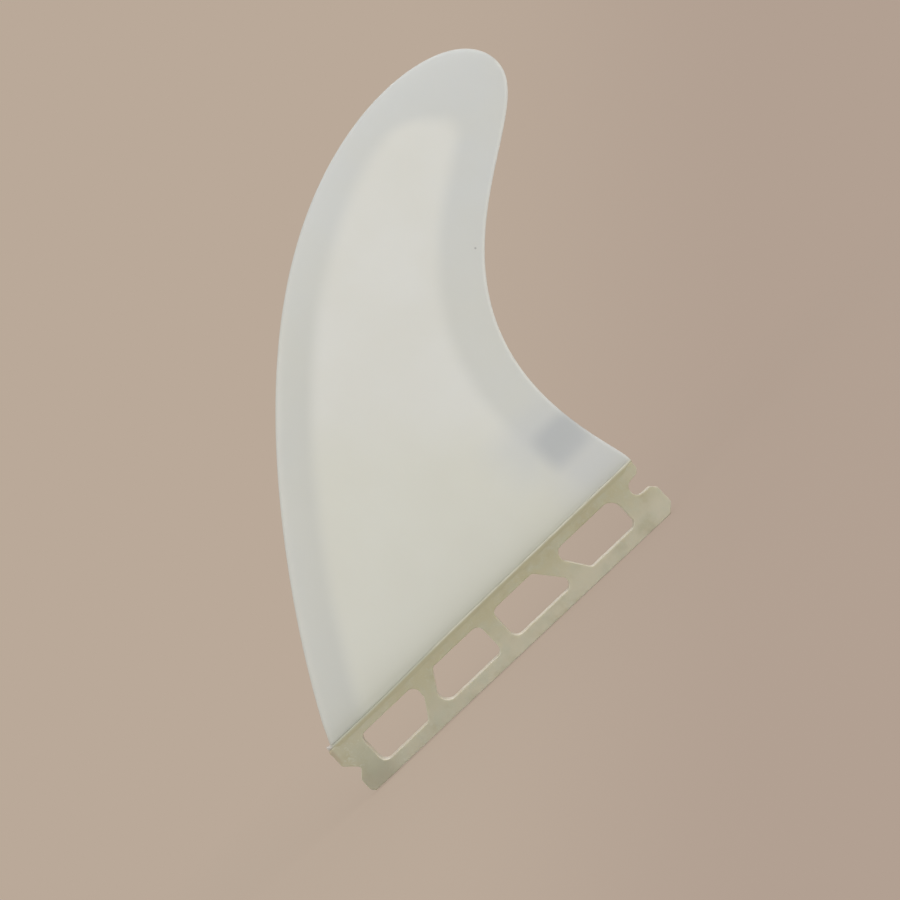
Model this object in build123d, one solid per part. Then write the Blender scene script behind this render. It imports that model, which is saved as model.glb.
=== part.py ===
from build123d import *
import os
from math import cos, pi, sqrt

# Surfboard fin: a foiled, swept blade on a long tab that sinks into a slot in the board.
# Blade and tab are one moulding. The origin is on the board's surface, half way along the
# tab and half way through its thickness. +X points to the trailing edge, +Y through the
# thickness and +Z from the board to the tip. Lengths are in millimetres.

# Blade, seen from the side
BASE_LENGTH = 113.8       # along the board's surface
BASE_FRONT = -56.5        # x of the front corner of the base
TIP_REACH = 162.4         # from the front corner to the rearmost point of the tip
TIP_LEVEL = 104.6         # height of that rearmost point
ARCH_LEVEL = 130.9        # height of the handle that pulls the leading edge over its arch
# The other handles of the two edges: the low and middle ones are measured from the base's
# corner of the same edge, the high one of the leading edge from the arch's handle, and those
# of the trailing edge from the tip's rearmost point.
LEADING_LOW = (25.9, 55.2)
LEADING_MIDDLE = (70.0, 101.8)
LEADING_HIGH = (-71.3, -2.9)
TRAILING_LOW = (1.9, 7.0)
TRAILING_MIDDLE = (-28.5, 59.8)
TRAILING_HIGH = (-36.0, -23.8)
TRAILING_ARRIVAL = (0, -16.2)

# Blade, through its thickness
ROOT_THICKNESS = 6.6      # fullest section, at the board
TIP_THICKNESS = 2.3       # fullest section, just short of the tip
EDGE_STOCK = 1.1          # of that thickness, the part that reaches both edges
EDGE_ROUNDING = 1.0       # how far in from an edge its rounding ends
FULLEST_AT = 0.36         # where a section is thickest, as a share of its chord
NOSE_FADE = 42.0          # how abruptly the blade thins to its edge round the tip

# Lip, the thin proud line where the blade meets the board
LIP_HEIGHT = 0.5
LIP_WIDTH = 7.6
LIP_CHAMFER = 0.2
LIP_INSET = 0.1           # it ends this far short of the tab's ends

# Tab
TAB_LENGTH = 115.0
TAB_THICKNESS = 7.0
TAB_DEPTH_FRONT = 17.2    # below the board's surface
TAB_DEPTH_REAR = 17.6
TAB_CHAMFER = 0.3         # along the rims of both side faces

# Front notch, under the upper front lug
FRONT_LUG_HEIGHT = 6.05
FRONT_NOTCH_INSET = 3.45
FRONT_NOTCH_LEVEL = 9.7   # its deepest point, below the board's surface
FRONT_NOTCH_FOOT = 12.2   # where it comes out again
FRONT_FOOT_INSET = 1.4    # the lower lug stands back by this much
FOOT_RADIUS = 1.8
UPPER_LUG_RADIUS = 0.5
NOTCH_RADIUS = 0.8
LOWER_LUG_RADIUS = 0.9

# Rear hook notch, and the lower rear lug under it
HOOK_RADIUS = 2.25
HOOK_LEVEL = 5.95         # its centre line, below the board's surface
HOOK_LENGTH = 6.2         # from the rear face to its round end
HOOK_LOBE_INSET = 0.5     # the upper lobe stands back from the lower lug by this much
HOOK_LOBE_CHAMFER = 1.3
HOOK_LUG_CHAMFER = 1.5    # on the lower lug
REAR_FOOT_CHAMFER = 2.4

# Windows through the tab, between an upper rail and a lower rail
WINDOW_TOP = 3.4          # below the board's surface
WINDOW_SILL = 13.35
WINDOW_ROUNDNESS = 0.22   # radius of its plain corners, as a share of a window's height
CUT_ROUNDNESS = 0.12      # the same for both ends of a cut
WEB_FRONT = 9.25          # solid ahead of the first window
WEB_REAR = 11.05          # solid behind the last one
WEB_FIRST = 3.25          # the three uprights between windows, at their slimmest
WEB_SECOND = 5.05
WEB_THIRD = 2.9
# Each window is a rectangle with one corner cut off, so that the uprights lean, and another
# one rounder than the rest. It has its share of the open length, the cut corner's side in x
# and z, the cut's share of the window's length and height, and the rounder corner's side and
# roundness.
WINDOWS = [
    (0.241, (1, -1), (0.19, 0.58), (-1, -1), 0.24),
    (0.251, (-1, 1), (0.19, 0.62), (-1, -1), 0.30),
    (0.252, (1, 1), (0.285, 0.72), (-1, -1), 0.25),
    (0.256, (-1, -1), (0.215, 0.67), (1, 1), 0.36),
]

# Small chip knocked out of the tab's lower rim
CHIP_RADIUS = 1.5
CHIP_X = 48.3
CHIP_BITE = 0.55

SECTIONS = 8              # foil sections along the span, closest together at the tip
SECTION_SPACING = 1.4
FOIL_POINTS = 22          # points on each side of a section, closest together at its edges
POINT_CROWDING = 0.8

base_rear = BASE_FRONT + BASE_LENGTH
tip_x = BASE_FRONT + TIP_REACH
tab_front = -TAB_LENGTH / 2
tab_rear = TAB_LENGTH / 2


def blade_edges():
    """The leading and the trailing edge, each one Bezier curve from the base to the tip.

    Both arrive upright at the rearmost point of the tip, so that they meet in a round nose.
    """

    def handle(corner, step=(0, 0)):
        return (corner[0] + step[0], 0, corner[1] + step[1])

    front, rear = (BASE_FRONT, 0), (base_rear, 0)
    arch, tip = (tip_x, ARCH_LEVEL), (tip_x, TIP_LEVEL)
    leading = Bezier(
        handle(front),
        handle(front, LEADING_LOW),
        handle(front, LEADING_MIDDLE),
        handle(arch, LEADING_HIGH),
        handle(arch),
        handle(tip),
    )
    trailing = Bezier(
        handle(rear),
        handle(rear, TRAILING_LOW),
        handle(rear, TRAILING_MIDDLE),
        handle(tip, TRAILING_HIGH),
        handle(tip, TRAILING_ARRIVAL),
        handle(tip),
    )
    return leading, trailing


def half_thickness(chord_share, chord, span_share):
    """Half the thickness at a share of the chord, on the section at a share of the span.

    A foil x^0.5 (1-x)^q, fullest at FULLEST_AT, is laid over an even stock with round ends.
    """
    fall = 0.5 * (1 - FULLEST_AT) / FULLEST_AT
    peak = FULLEST_AT ** 0.5 * (1 - FULLEST_AT) ** fall
    foil = chord_share ** 0.5 * (1 - chord_share) ** fall / peak
    inset = min(chord_share, 1 - chord_share) * chord
    stock = sqrt(1 - (1 - min(inset / EDGE_ROUNDING, 1)) ** 2)
    fullest = ROOT_THICKNESS + (TIP_THICKNESS - ROOT_THICKNESS) * span_share
    fade = 1 - span_share ** NOSE_FADE
    return fade * ((fullest - EDGE_STOCK) * foil + EDGE_STOCK * stock) / 2


def foil_side(front, rear, span_share, side):
    """One side of a foil section. It leaves both edges square to the chord, so they are round."""
    chord = (rear - front).length

    def chord_share(k):
        wave = (1 - cos(pi * k / FOIL_POINTS)) / 2
        return (1 - POINT_CROWDING) * wave + POINT_CROWDING * wave ** 2 * (3 - 2 * wave)

    def height(k):
        return half_thickness(chord_share(k), chord, span_share)

    points = [front]
    for k in range(1, FOIL_POINTS):
        points.append(front + (rear - front) * chord_share(k) + Vector(0, side * height(k), 0))
    points.append(rear)
    step = 0.01
    leave = height(step) * FOIL_POINTS / step
    arrive = height(FOIL_POINTS - step) * FOIL_POINTS / step
    return Edge.make_spline(
        points,
        tangents=[Vector(0, side * leave, 0), Vector(0, -side * arrive, 0)],
        parameters=[k / FOIL_POINTS for k in range(FOIL_POINTS + 1)],
        scale=False,
    )


def blade():
    """A smooth skin over foil sections that fan out from the base to the tip."""
    leading, trailing = blade_edges()
    ribs = []
    for k in range(SECTIONS):
        share = 1 - (1 - k / SECTIONS) ** SECTION_SPACING
        ribs.append(foil_side(leading @ share, trailing @ share, share, 1))
    skin = Face.make_gordon_surface(ribs + [leading @ 1], [leading, trailing])
    other_skin = skin.mirror(Plane.XZ)
    other_rib = foil_side(leading @ 0, trailing @ 0, 0, -1)
    root = Face(Wire([ribs[0], other_rib]))
    return Solid(Shell(Face.sew_faces([skin, other_skin, root])[0]))


def lip():
    """The proud line along the base, with round ends."""
    outline = Plane.XY * SlotOverall(TAB_LENGTH - 2 * LIP_INSET, LIP_WIDTH)
    bead = extrude(outline, amount=LIP_HEIGHT)
    return chamfer(bead.faces().sort_by(Axis.Z)[-1].edges(), LIP_CHAMFER)


def round_corner(sketch, place, radius):
    nearest = sketch.vertices().sort_by_distance((*place, 0))[0]
    fillet(nearest, radius)


def tab_outline():
    """The tab's side view without its windows, drawn in x and z."""
    foot_front = tab_front + FRONT_FOOT_INSET
    hook_top = -HOOK_LEVEL + HOOK_RADIUS
    hook_foot = -HOOK_LEVEL - HOOK_RADIUS
    hook_end = tab_rear - HOOK_LENGTH + HOOK_RADIUS
    lobe_rear = tab_rear - HOOK_LOBE_INSET
    with BuildSketch(Plane.XZ) as outline:
        with BuildLine():
            Polyline(
                (hook_end, hook_top),
                (lobe_rear - HOOK_LOBE_CHAMFER, hook_top),
                (lobe_rear, hook_top + HOOK_LOBE_CHAMFER),
                (lobe_rear, 0),
                (tab_front, 0),
                (tab_front, -FRONT_LUG_HEIGHT),
                (tab_front + FRONT_NOTCH_INSET, -FRONT_NOTCH_LEVEL),
                (foot_front, -FRONT_NOTCH_FOOT),
                (foot_front, -TAB_DEPTH_FRONT),
                (tab_rear - REAR_FOOT_CHAMFER, -TAB_DEPTH_REAR),
                (tab_rear, -TAB_DEPTH_REAR + REAR_FOOT_CHAMFER),
                (tab_rear, hook_foot - HOOK_LUG_CHAMFER),
                (tab_rear - HOOK_LUG_CHAMFER, hook_foot),
                (hook_end, hook_foot),
            )
            ThreePointArc((hook_end, hook_foot), (hook_end - HOOK_RADIUS, -HOOK_LEVEL), (hook_end, hook_top))
        make_face()
        round_corner(outline, (foot_front, -TAB_DEPTH_FRONT), FOOT_RADIUS)
        round_corner(outline, (tab_front + FRONT_NOTCH_INSET, -FRONT_NOTCH_LEVEL), NOTCH_RADIUS)
        round_corner(outline, (tab_front, -FRONT_LUG_HEIGHT), UPPER_LUG_RADIUS)
        round_corner(outline, (foot_front, -FRONT_NOTCH_FOOT), LOWER_LUG_RADIUS)
    return outline.sketch


def window(x_low, x_high, cut_corner, cut, round_side, roundness):
    """One window's outline: a rectangle with a corner cut off, and every corner rounded."""
    height = WINDOW_SILL - WINDOW_TOP
    middle = ((x_low + x_high) / 2, -(WINDOW_SILL + WINDOW_TOP) / 2)
    half = ((x_high - x_low) / 2, height / 2)
    corners = []
    roundings = []
    for side in ((-1, -1), (1, -1), (1, 1), (-1, 1)):
        corner = (middle[0] + side[0] * half[0], middle[1] + side[1] * half[1])
        if side == cut_corner:
            along = (corner[0] - side[0] * 2 * half[0] * cut[0], corner[1])
            up = (corner[0], corner[1] - side[1] * 2 * half[1] * cut[1])
            upright_first = side[0] * side[1] > 0
            corners += [up, along] if upright_first else [along, up]
            roundings += [CUT_ROUNDNESS, CUT_ROUNDNESS]
        else:
            corners.append(corner)
            roundings.append(roundness if side == round_side else WINDOW_ROUNDNESS)
    with BuildSketch(Plane.XZ) as shape:
        with BuildLine():
            Polyline(*corners, close=True)
        make_face()
        for corner, rounding in zip(corners, roundings):
            round_corner(shape, corner, rounding * height)
    return shape.sketch


def windows():
    """The four windows, spread between the solid ends with an upright between each two."""
    uprights = [WEB_FIRST, WEB_SECOND, WEB_THIRD, 0]
    open_length = TAB_LENGTH - WEB_FRONT - WEB_REAR - sum(uprights)
    outlines = []
    x = tab_front + WEB_FRONT
    for (share, *shape), upright in zip(WINDOWS, uprights):
        length = share * open_length
        outlines.append(window(x, x + length, *shape))
        x += length + upright
    return outlines


def tab():
    """The plate that the board holds, with its notches and windows, its rims broken."""
    plate = tab_outline()
    for opening in windows():
        plate = plate - opening
    body = extrude(plate, amount=TAB_THICKNESS / 2, both=True)
    rims = [edge for face in body.faces().filter_by(Axis.Y) for edge in face.edges()]
    rims = [edge for edge in rims if edge.center().Z < -0.01]
    return chamfer(rims, TAB_CHAMFER)


def chip():
    """What is missing from the tab's lower rim, as a ball."""
    slope = (TAB_DEPTH_REAR - TAB_DEPTH_FRONT) / TAB_LENGTH
    level = TAB_DEPTH_REAR - slope * (tab_rear - CHIP_X)
    offset = CHIP_RADIUS - CHIP_BITE
    return Pos(CHIP_X, -TAB_THICKNESS / 2 - offset / 2, -level - offset / 4) * Sphere(CHIP_RADIUS)


def fin():
    return tab() + lip() + blade() - chip()


os.makedirs("parts", exist_ok=True)
part = fin()
export_step(part, "parts/fin.step")
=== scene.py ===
"""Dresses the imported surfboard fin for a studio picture.

The blade, the lip and the tab are surfaces worked out with numpy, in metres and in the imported
solid's own frame: +X points to the trailing edge, +Y through the thickness and +Z from the
board's surface to the tip. Together they stand for the one moulding.
"""

import math

import bpy
import numpy as np
from bpy.props import FloatProperty, FloatVectorProperty, PointerProperty
from mathutils import Matrix, Vector
from mathutils.geometry import delaunay_2d_cdt


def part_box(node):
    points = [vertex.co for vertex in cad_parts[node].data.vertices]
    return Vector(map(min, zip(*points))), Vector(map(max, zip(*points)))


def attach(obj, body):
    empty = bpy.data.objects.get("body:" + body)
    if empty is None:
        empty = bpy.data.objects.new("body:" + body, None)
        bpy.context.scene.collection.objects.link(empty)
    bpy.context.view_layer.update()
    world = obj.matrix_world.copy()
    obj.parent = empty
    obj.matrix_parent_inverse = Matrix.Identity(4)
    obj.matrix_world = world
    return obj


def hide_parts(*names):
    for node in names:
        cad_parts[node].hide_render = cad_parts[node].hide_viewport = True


bl_info = {
    "name": "Surfboard fin",
    "version": (1, 0, 0),
    "blender": (4, 5, 0),
    "location": "View3D > Sidebar > Fin",
    "description": "Makes the blade, lip and tab of a moulded surfboard fin, and a studio for it",
    "category": "Add Mesh",
}

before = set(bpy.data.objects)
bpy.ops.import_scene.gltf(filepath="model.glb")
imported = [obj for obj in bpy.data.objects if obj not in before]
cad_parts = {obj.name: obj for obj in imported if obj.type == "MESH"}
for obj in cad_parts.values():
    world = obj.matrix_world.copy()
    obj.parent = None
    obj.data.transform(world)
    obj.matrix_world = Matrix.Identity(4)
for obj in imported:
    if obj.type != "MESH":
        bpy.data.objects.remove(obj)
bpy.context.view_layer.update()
lowest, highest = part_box("fin")

MM = 0.001

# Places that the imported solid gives
TAB_FRONT = lowest.x
TAB_REAR = -TAB_FRONT
TIP_X = highest.x
FLOOR_LEVEL = lowest.z
LIP_HALF_WIDTH = highest.y

# Blade, seen from the side, as the handles of its two edges in x and z
BASE_FRONT = TAB_FRONT + 1.0 * MM
BASE_REAR = TAB_REAR - 0.2 * MM
TIP_LEVEL = 104.6 * MM
ARCH_LEVEL = 130.9 * MM
LEADING_EDGE = [
    (BASE_FRONT, 0),
    (BASE_FRONT + 25.9 * MM, 55.2 * MM),
    (BASE_FRONT + 70.0 * MM, 101.8 * MM),
    (TIP_X - 71.3 * MM, ARCH_LEVEL - 2.9 * MM),
    (TIP_X, ARCH_LEVEL),
    (TIP_X, TIP_LEVEL),
]
TRAILING_EDGE = [
    (BASE_REAR, 0),
    (BASE_REAR + 1.9 * MM, 7.0 * MM),
    (BASE_REAR - 28.5 * MM, 59.8 * MM),
    (TIP_X - 36.0 * MM, TIP_LEVEL - 23.8 * MM),
    (TIP_X, TIP_LEVEL - 16.2 * MM),
    (TIP_X, TIP_LEVEL),
]

# Where a section is fullest, as a share of its chord, and how late its fullness goes at the tip
FULLEST_AT = 0.36
NOSE_FADE = 42

# The blade's grid crowds towards the tip and towards both edges
BLADE_ROWS = 260
BLADE_COLUMNS = 96
TIP_CROWDING = 1.4
EDGE_CROWDING = 0.8

# The pale zone inside the blade: how far it stays from each edge, at shares of the span
CORE_SHARES = (0, 0.3, 0.45, 0.6, 0.75, 0.9, 1)
CORE_FROM_LEADING = np.array((11.4, 10.6, 10.2, 9.9, 9, 8.6, 8.6)) * MM
CORE_FROM_TRAILING = np.array((12.5, 13.4, 13.4, 12.6, 11.7, 12.2, 12.4)) * MM
CORE_FADE = 2.8 * MM
CORE_END_RADIUS = 5.2 * MM
# It ends square to the way the blade's upper half points, this far along it
CORE_AXIS = (0.688, 0.726)
CORE_REACH = 132.8 * MM

# Tab, with its levels and depths measured down from the board's surface
TAB_THICKNESS = 7.0 * MM
TAB_DEPTH_FRONT = 17.2 * MM
TAB_DEPTH_REAR = -FLOOR_LEVEL
TOP_CORNER_RADIUS = 0.5 * MM
CORNER_RADIUS = 0.6 * MM
FRONT_LUG_HEIGHT = 6.05 * MM
FRONT_NOTCH_INSET = 3.85 * MM
FRONT_NOTCH_LEVEL = 9.6 * MM
FRONT_NOTCH_RADIUS = 0.8 * MM
FRONT_NOTCH_FOOT = 12.2 * MM
FRONT_NOTCH_FOOT_RADIUS = 0.9 * MM
FRONT_FOOT_INSET = 1.4 * MM
FRONT_FOOT_RADIUS = 1.8 * MM
HOOK_RADIUS = 2.25 * MM
HOOK_LEVEL = 5.95 * MM
HOOK_LENGTH = 6.2 * MM
HOOK_FLARE = 0.35 * MM
HOOK_LOBE_INSET = 0.5 * MM
HOOK_LOBE_CHAMFER = 1.3 * MM
HOOK_LUG_CHAMFER = 1.5 * MM
REAR_FOOT_CHAMFER = 2.4 * MM
WINDOW_TOP = 3.4 * MM
WINDOW_SILL = 13.35 * MM
WINDOW_RADIUS = 2.19 * MM
CUT_RADIUS = 1.19 * MM
WEB_FRONT = 9.25 * MM
WEB_REAR = 11.05 * MM
UPRIGHTS = (3.25 * MM, 5.05 * MM, 2.9 * MM)
# Each window: its share of the open length, its cut corner's side in x and z, the cut's share
# of the window's length and height, and the side and the radius of its roundest corner
WINDOWS = [
    (0.241, (1, -1), (0.19, 0.58), (-1, -1), 2.39 * MM),
    (0.251, (-1, 1), (0.19, 0.62), (-1, -1), 2.99 * MM),
    (0.252, (1, 1), (0.285, 0.72), (-1, -1), 2.49 * MM),
    (0.256, (-1, -1), (0.215, 0.67), (1, 1), 3.58 * MM),
]
OUTLINE_STEP = 0.22 * MM
RIM_LANDING = 0.12 * MM
CHIP_PLACE = (48.1 * MM, -17.4 * MM)
CHIP_SIZE = 0.9 * MM
CHIP_DEPTH = 0.08 * MM
CHIP_START = 0.4
CHIP_RISE = 0.55

# Unevenness of the cut edges: its height, its length, and each wave's pace and phase
WAVE_HEIGHT = 0.016 * MM
WAVE_LENGTH = 9 * MM
WAVES = ((1, 0.4), (1.7, 2.1), (2.9, 4.4))

# Cut edges are paler than the faces, as cut glass is, and walls that face the light from above
# are paler still, as painted highlight: how pale a rim is, and the shares of the way over it at
# which the rim and the lit wall behind it turn pale, and in how much more they have
PALE_RIM = 0.85
PALE_RIM_START = 0.7
PALE_RIM_RISE = 0.3
LIT_WALL_START = 0.6
LIT_WALL_RISE = 0.35
# Painted highlight: the way in x and z that the walls lit from above face, outside and then in
# each window, and the share of it that the walls opposite get
LIT_SIDES = [(0, 0.8)] + [(0.5, 0.95)] * len(WINDOWS)
FAR_SIDE_SHARE = 0.35
# It all starts this far below the board's surface, and a part of it is lost at the rear
PALE_LEVEL = 0.3 * MM
PALE_LEVEL_FADE = 0.7 * MM
REAR_LOSS = 0.35
REAR_FADE_START = 18 * MM
REAR_FADE_LENGTH = 20 * MM

# Lip: how far it stands out from the tab, how far its ends stay inside the tab's, and the
# depth and the top of the slope by which it runs out below
LIP_PROUD = LIP_HALF_WIDTH - TAB_THICKNESS / 2 + 0.02 * MM
LIP_INSET = 0.1 * MM
LIP_RUN_OUT = 1.35 * MM
LIP_RUN_OUT_TOP = 0.15 * MM
LIP_LANDING = 0.1 * MM
LIP_STEP = 0.3 * MM

# A fleck of resin stands up at the lip's front end
FLECK_LENGTH = 1.7 * MM
FLECK_HEIGHT = 0.65 * MM

# The parting line between blade and tab sags towards the front. What is within the margin
# follows it wholly, and the rest less and less over the fades.
SAG = 0.41 * MM
SAG_LEVEL = -0.19 * MM
SAG_MIDDLE = -24 * MM
SAG_LENGTH = 14 * MM
SAG_MARGIN = 0.8 * MM
SAG_FADE_ABOVE = 6 * MM
SAG_FADE_BELOW = 2.4 * MM

# Studio. The floor glows in the backdrop's colour: by a share up to the shadow's start, so
# that the fin's shadow shows there, and wholly from its end on.
FLOOR_REACH = 4.0
FLOOR_GAP = 0.02 * MM
FLOOR_GLOW = 0.8
SHADOW_START = 0.1
SHADOW_END = 0.5
LAMP_AIM = Vector((20 * MM, 0, 45 * MM))
LAMP_COLOUR = (0.98, 1.0, 1.0)

# Camera: the fin stands upright here and leans in the picture, so the camera is rolled. Its
# lens and sensor are in millimetres.
CAMERA_AIM = Vector((23.3 * MM, 0, 36.4 * MM))
CAMERA_DISTANCE = 684.5 * MM
CAMERA_ROLL = math.radians(43.45)
CAMERA_LENS = 100
SENSOR_WIDTH = 36
CAMERA_PLACE = CAMERA_AIM - Vector((0, CAMERA_DISTANCE, 0))
PICTURE_RIGHT = Vector((math.cos(CAMERA_ROLL), 0, -math.sin(CAMERA_ROLL)))


def shade(red, green, blue):
    """The linear colour of three 8-bit display values."""
    values = np.array((red, green, blue)) / 255
    linear = np.where(values <= 0.04045, values / 12.92, ((values + 0.055) / 1.055) ** 2.4)
    return tuple(float(value) for value in linear)


def amount_property(name, description, default, unit="LENGTH"):
    """A number that isn't negative."""
    return FloatProperty(name=name, description=description, default=default, min=0, unit=unit)


def colour_property(name, description, values):
    """A colour, given as 8-bit display values."""
    return FloatVectorProperty(
        name=name, description=description, default=shade(*values), min=0, max=1, subtype="COLOR"
    )


class FinSizes(bpy.types.PropertyGroup):
    """Sizes that change the fin's body and leave its outline as it is."""

    root_thickness: amount_property("Root thickness", "Fullest section at the board", 6.6 * MM)
    tip_thickness: amount_property("Tip thickness", "Fullest section near the tip", 2.3 * MM)
    edge_stock: amount_property("Edge stock", "Thickness that reaches both edges", 1.1 * MM)
    edge_rounding: amount_property("Edge rounding", "How far in an edge's rounding ends", 0.6 * MM)
    lip_height: amount_property("Lip height", "Height of the proud line at the board", 0.5 * MM)
    lip_rounding: amount_property("Lip rounding", "Radius of the lip's upper rim", 0.2 * MM)
    rim_rounding: amount_property("Rim rounding", "Radius of the tab's rims", 0.3 * MM)


class FinColours(bpy.types.PropertyGroup):
    """Colours of the skin, the lip and the raw glass."""

    skin: colour_property("Skin", "Skin over solid laminate, near the edges", (204, 203, 197))
    skin_high: colour_property("Skin, high", "The same round the tip", (203, 203, 200))
    # Painted shade: a darker skin low on the leading edge
    skin_front_shade: colour_property("Skin, front", "The same low on the leading edge", (199, 198, 192))
    core: colour_property("Core", "Skin over the pale filling", (213, 211, 201))
    # Partly painted light: a little lighter than the core, as lit from above
    core_high_lit: colour_property("Core, high", "The same in the blade's upper half", (216, 214, 208))
    foot: colour_property("Foot", "Skin that thins to the laminate above the lip", (173, 172, 156))
    patch: colour_property("Patch", "Dark place near the trailing edge", (176, 178, 180))
    lip: colour_property("Lip", "Resin line at the board", (200, 196, 179))
    glass: colour_property("Glass", "Raw laminate just under the lip", (176, 168, 139))
    glass_low: colour_property("Glass, low", "The same at the tab's lower edge", (190, 182, 161))
    # Also the colour of the painted highlight on walls that face the light
    glass_cut_and_lit: colour_property("Glass, cut", "Cut edges of the laminate", (214, 206, 188))


class FinStudio(bpy.types.PropertyGroup):
    """The studio that the fin stands in."""

    backdrop: colour_property("Backdrop", "Floor and backdrop, as they are seen", (186, 169, 153))
    backdrop_right: colour_property("Backdrop, right", "The same on the right", (178, 160, 146))
    floor: colour_property("Floor", "Floor, as it lights the fin from below", (226, 224, 220))
    dome: amount_property("Dome", "Strength of the light from all round", 0.67, "NONE")
    key: amount_property("Key", "Power of the large light overhead", 5.3, "POWER")
    fill: amount_property("Fill", "Power of the two weaker lights", 2.6, "POWER")


# Curves and outlines


def bezier(handles, along):
    """A curve in which handle k weighs C(n, k) t^k (1 - t)^(n - k) at each t of along."""
    degree = len(handles) - 1
    order = np.arange(degree + 1)
    choices = np.array([math.comb(degree, k) for k in order])
    t = np.asarray(along)[:, None]
    return (choices * t**order * (1 - t) ** (degree - order)) @ np.array(handles, float)


def path_lengths(path):
    """The length of a path up to each of its points."""
    steps = np.linalg.norm(np.diff(path, axis=0), axis=1)
    return np.concatenate([[0], np.cumsum(steps)])


def at_shares(handles, shares, divisions=4000):
    """Points of a curve at shares of its length, found on a finely divided copy of it."""
    fine = np.linspace(0, 1, divisions + 1)
    lengths = path_lengths(bezier(handles, fine))
    return bezier(handles, np.interp(shares, lengths / lengths[-1], fine))


def rounded_outline(corners, radii, arc_points=12):
    """A closed outline whose corners are arcs that touch both of their sides.

    A corner that turns by a gets an arc of radius r that starts r tan(a / 2) before it.
    """
    corners = np.array(corners, float)
    radii = np.broadcast_to(np.array(radii, float), len(corners))[:, None]
    arriving = corners - np.roll(corners, 1, axis=0)
    leaving = np.roll(corners, -1, axis=0) - corners
    arriving /= np.linalg.norm(arriving, axis=1, keepdims=True)
    leaving /= np.linalg.norm(leaving, axis=1, keepdims=True)
    sine = arriving[:, 0] * leaving[:, 1] - arriving[:, 1] * leaving[:, 0]
    cosine = (arriving * leaving).sum(axis=1)
    turn = np.arctan2(sine, cosine)[:, None]
    start = corners - arriving * radii * np.tan(np.abs(turn) / 2)
    to_centre = np.stack([-arriving[:, 1], arriving[:, 0]], axis=1) * np.sign(turn) * radii
    swing = turn * np.linspace(0, 1, arc_points)
    arm_x, arm_z = -to_centre[:, :1], -to_centre[:, 1:]
    centre = start + to_centre
    x = centre[:, :1] + arm_x * np.cos(swing) - arm_z * np.sin(swing)
    z = centre[:, 1:] + arm_x * np.sin(swing) + arm_z * np.cos(swing)
    return np.stack([x, z], axis=-1).reshape(-1, 2)


def evenly_spaced(outline, step):
    """The same closed outline, with its points about one step apart. Doubled points go."""
    closed = np.vstack([outline, outline[:1]])
    lengths = path_lengths(closed)
    keep = np.concatenate([[True], np.diff(lengths) > 1e-6 * MM])
    count = int(round(lengths[-1] / step))
    places = np.arange(count) / count * lengths[-1]
    axes = [np.interp(places, lengths[keep], values) for values in closed[keep].T]
    return np.stack(axes, axis=1)


def inward(outline):
    """Unit normals to the left of a closed outline, from the points on either side."""
    ahead = np.roll(outline, -1, axis=0) - np.roll(outline, 1, axis=0)
    ahead /= np.linalg.norm(ahead, axis=1, keepdims=True)
    return np.stack([-ahead[:, 1], ahead[:, 0]], axis=1)


def distance_to_path(points, path, parts=24):
    """How far each point is from the two runs of a path that meet nearest to it.

    The points are taken in parts, because all the gaps together need much memory.
    """
    points = np.asarray(points, np.float32)
    nearest = np.empty(len(points), int)
    for part in np.array_split(np.arange(len(points)), parts):
        gaps = points[part, None, :] - path[None, :, :].astype(np.float32)
        nearest[part] = (gaps**2).sum(axis=2).argmin(axis=1)
    nearest = np.clip(nearest, 1, len(path) - 2)
    found = []
    for start in (nearest - 1, nearest):
        run = path[start + 1] - path[start]
        share = ((points - path[start]) * run).sum(axis=1) / (run**2).sum(axis=1)
        foot = path[start] + run * np.clip(share, 0, 1)[:, None]
        found.append(np.linalg.norm(points - foot, axis=1))
    return np.minimum(*found)


def smooth_step(value):
    """Rises from 0 to 1 as the value v does, level at both ends: v^2 (3 - 2 v)."""
    value = np.clip(value, 0, 1)
    return value * value * (3 - 2 * value)


def sagged(points):
    """Moves the parting line and what is near it up or down, by a tanh of its place along X."""
    shift = SAG_LEVEL + SAG * np.tanh((points[:, 0] - SAG_MIDDLE) / SAG_LENGTH)
    above = 1 - smooth_step((points[:, 2] - SAG_MARGIN) / SAG_FADE_ABOVE)
    below = 1 - smooth_step((-points[:, 2] - SAG_MARGIN) / SAG_FADE_BELOW)
    moved = points.copy()
    moved[:, 2] += shift * above * below
    return moved


# Meshes


def grid_faces(rows, columns, wrap_rows=False, wrap_columns=False, flip=False):
    """Four-sided faces between the neighbours of a grid whose points run row by row."""
    row = np.arange(rows if wrap_rows else rows - 1)[:, None]
    column = np.arange(columns if wrap_columns else columns - 1)[None, :]
    next_row = (row + 1) % rows
    next_column = (column + 1) % columns
    corners = [row * columns + column, next_row * columns + column]
    corners += [next_row * columns + next_column, row * columns + next_column]
    faces = np.stack(corners, axis=-1).reshape(-1, 4)
    return faces[:, ::-1] if flip else faces


def make_piece(name, points, faces, material, attributes=None, flat_faces=0):
    """Puts points and faces into a mesh of the fin. All but the last few faces are smooth."""
    mesh = bpy.data.meshes.new(name)
    mesh.from_pydata(np.clip(points, lowest, highest).tolist(), [], faces)
    mesh.polygons.foreach_set("use_smooth", np.arange(len(faces)) < len(faces) - flat_faces)
    for label, values in (attributes or {}).items():
        layer = mesh.attributes.new(label, "FLOAT", "POINT")
        layer.data.foreach_set("value", np.asarray(values, np.float32))
    mesh.materials.append(material)
    mesh.update()
    piece = bpy.data.objects.new(name, mesh)
    bpy.context.scene.collection.objects.link(piece)
    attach(piece, "root")
    return piece


def chord_shares():
    """Places round a section: from the leading edge along one side and back along the other.

    Each is a share of the chord, w = (1 - cos turn) / 2 drawn towards w^2 (3 - 2 w).
    """
    turn = np.linspace(0, 2 * np.pi, 2 * BLADE_COLUMNS, endpoint=False)
    wave = (1 - np.cos(turn)) / 2
    share = (1 - EDGE_CROWDING) * wave + EDGE_CROWDING * wave**2 * (3 - 2 * wave)
    side = -np.sign(np.round(np.sin(turn), 9))
    return share, side


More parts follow.
